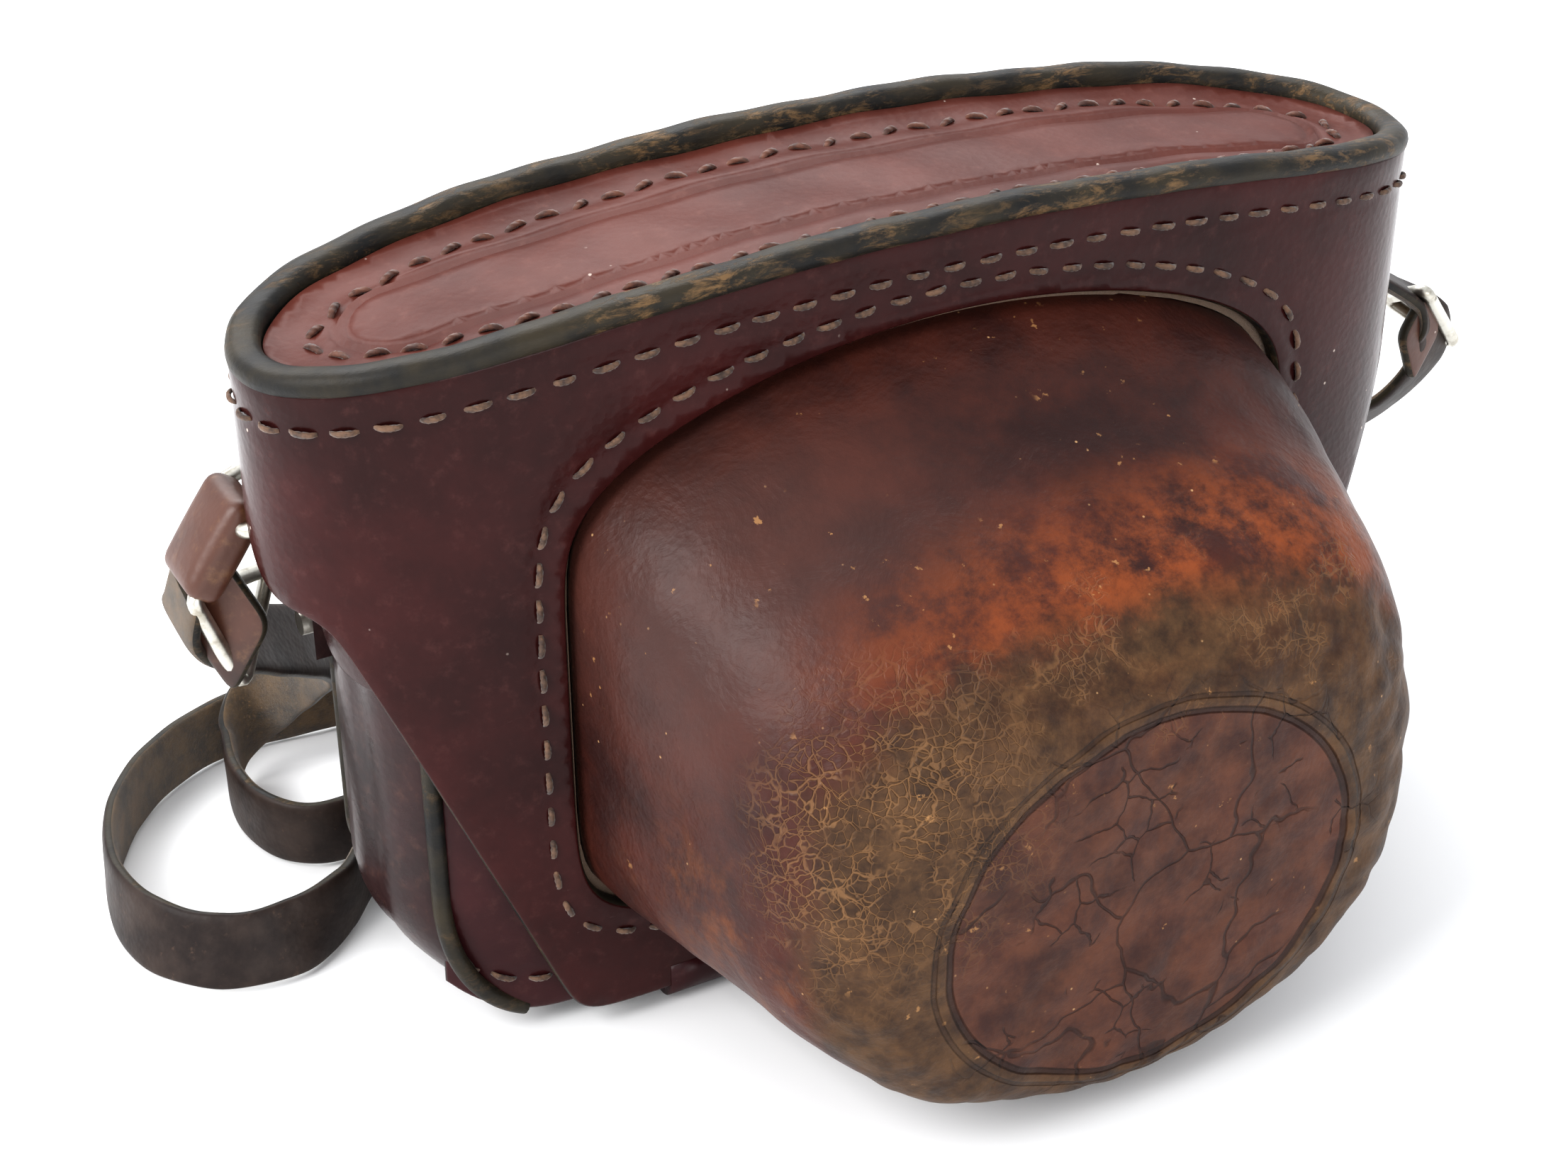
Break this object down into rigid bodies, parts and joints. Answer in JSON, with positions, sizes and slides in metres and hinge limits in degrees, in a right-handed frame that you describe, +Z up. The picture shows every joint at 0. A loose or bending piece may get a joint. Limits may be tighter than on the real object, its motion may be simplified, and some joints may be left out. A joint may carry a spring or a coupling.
{
  "type": "rangefinder camera in an ever-ready leather case",
  "caption": "Compact rangefinder film camera buttoned into a stitched leather ever-ready case with a moulded lens snout, hinged front, retaining screw and neck strap.",
  "frame": {"origin": "centre of the case's base, on the surface it stands on", "axes": "+X along the case's length, -Y towards the lens snout, +Z up"},
  "size_m": [0.2021, 0.1322, 0.098],
  "materials": {
    "cover_leather": "polished, worn burgundy",
    "snout_leather": "cracked and worn brown",
    "edge_leather": "dyed edge",
    "half_leather": "semi-gloss burgundy",
    "gusset_leather": "dark, worn",
    "strap_leather": "suede inside, smooth outside",
    "nickel": "satin nickel",
    "liner_felt": "felt",
    "satin_chrome": "satin",
    "body_covering": "black pebbled covering",
    "black_metal": "black enamel",
    "lens_metal": "knurled, anodised",
    "steel": "machined",
    "optical_glass": "coated",
    "curtain_cloth": "rubberised cloth"
  },
  "bodies": {
    "half_case": {"lower_front_panel": "half_leather", "lower_back_panel": "half_leather", "left_gusset": "gusset_leather", "right_gusset": "gusset_leather", "hinge_tongue": "half_leather", "screw_grommet": "nickel", "tab_anchor": "half_leather", "left_lug_tab": "half_leather", "right_lug_tab": "half_leather", "left_ring": "nickel", "right_ring": "nickel", "left_keeper": "strap_leather", "right_keeper": "strap_leather", "left_buckle": "nickel", "right_buckle": "nickel", "lug_rivets": "nickel", "neck_strap": "strap_leather", "base_liner": "liner_felt", "body_shell": "body_covering", "back_door": "body_covering", "bottom_plate": "satin_chrome", "top_cover": "satin_chrome", "tripod_bush": "steel", "accessory_shoe": "satin_chrome", "viewfinder_window": "optical_glass", "rangefinder_window": "optical_glass", "window_bezels": "black_metal", "eyepiece": "black_metal", "film_cartridge": "steel", "release_collar": "satin_chrome", "release_spring": "steel", "shutter_crate": "black_metal", "shutter_curtain": "curtain_cloth", "pressure_plate": "black_metal", "lens_mount": "satin_chrome", "lens_base": "black_metal"},
    "cover": {"cover_wall": "cover_leather", "cover_left_end": "cover_leather", "cover_right_end": "cover_leather", "rim_welt": "edge_leather", "top_plate": "cover_leather", "snout": "snout_leather", "snout_flange": "snout_leather", "stud_post": "nickel"},
    "closing_tab": {"closing_tab": "half_leather", "stud_cap": "nickel"},
    "retaining_screw": {"retaining_screw": "nickel"},
    "wind_knob": {"wind_knob": "satin_chrome"},
    "take_up_spool": {"take_up_spool": "black_metal"},
    "sprocket": {"sprocket": "steel"},
    "rewind_knob": {"rewind_knob": "satin_chrome"},
    "cartridge_spool": {"cartridge_spool": "steel"},
    "speed_dial": {"speed_dial": "satin_chrome"},
    "release_button": {"release_button": "satin_chrome"},
    "focus_ring": {"focus_ring": "lens_metal"},
    "lens_head": {"lens_head": "lens_metal", "front_glass": "optical_glass", "rear_glass": "optical_glass", "iris": "steel"},
    "aperture_ring": {"aperture_ring": "lens_metal"}
  },
  "joints": [
    {"name": "cover_hinge", "type": "hinge", "parent": "half_case", "child": "cover", "pos_m": [0, -0.0195, 0.0012], "axis": [1, 0, 0], "range_deg": [0, 160]},
    {"name": "closing_tab_hinge", "type": "hinge", "parent": "half_case", "child": "closing_tab", "pos_m": [0, 0.0229, 0.0658], "axis": [-1, 0, 0], "range_deg": [0, 130]},
    {"name": "screw_spin", "type": "hinge", "parent": "half_case", "child": "retaining_screw", "pos_m": [-0.046, 0, 0.003], "axis": [0, 0, 1], "continuous": true},
    {"name": "wind_spin", "type": "hinge", "parent": "half_case", "child": "wind_knob", "pos_m": [0.049, 0, 0.08], "axis": [0, 0, 1], "continuous": true},
    {"name": "take_up_spin", "type": "hinge", "parent": "half_case", "child": "take_up_spool", "pos_m": [0.049, 0, 0.04], "axis": [0, 0, 1], "continuous": true},
    {"name": "sprocket_spin", "type": "hinge", "parent": "half_case", "child": "sprocket", "pos_m": [0.031, 0.003, 0.04], "axis": [0, 0, 1], "continuous": true},
    {"name": "rewind_spin", "type": "hinge", "parent": "half_case", "child": "rewind_knob", "pos_m": [-0.049, 0, 0.08], "axis": [0, 0, 1], "continuous": true},
    {"name": "cartridge_spin", "type": "hinge", "parent": "half_case", "child": "cartridge_spool", "pos_m": [-0.049, 0, 0.04], "axis": [0, 0, 1], "continuous": true},
    {"name": "speed_dial_turn", "type": "hinge", "parent": "half_case", "child": "speed_dial", "pos_m": [0.022, 0, 0.08], "axis": [0, 0, 1], "range_deg": [0, 300]},
    {"name": "release_press", "type": "slide", "parent": "half_case", "child": "release_button", "axis": [0, 0, -1], "range_m": [0, 0.0018], "stiffness_N_per_m": 300, "springref_m": -0.002},
    {"name": "focus_turn", "type": "hinge", "parent": "half_case", "child": "focus_ring", "pos_m": [0, -0.03, 0.041], "axis": [0, -1, 0], "range_deg": [0, 170]},
    {"name": "lens_slide", "type": "slide", "parent": "half_case", "child": "lens_head", "axis": [0, -1, 0], "range_m": [0, 0.004]},
    {"name": "aperture_turn", "type": "hinge", "parent": "lens_head", "child": "aperture_ring", "pos_m": [0, -0.04, 0.041], "axis": [0, -1, 0], "range_deg": [0, 150]}
  ],
  "couplings": [
    {"joint": "take_up_spin", "follows": "wind_spin", "ratio": 1},
    {"joint": "sprocket_spin", "follows": "wind_spin", "ratio": -0.6},
    {"joint": "cartridge_spin", "follows": "rewind_spin", "ratio": 1},
    {"joint": "focus_turn", "follows": "lens_slide", "rad_per_m": 741.76}
  ]
}
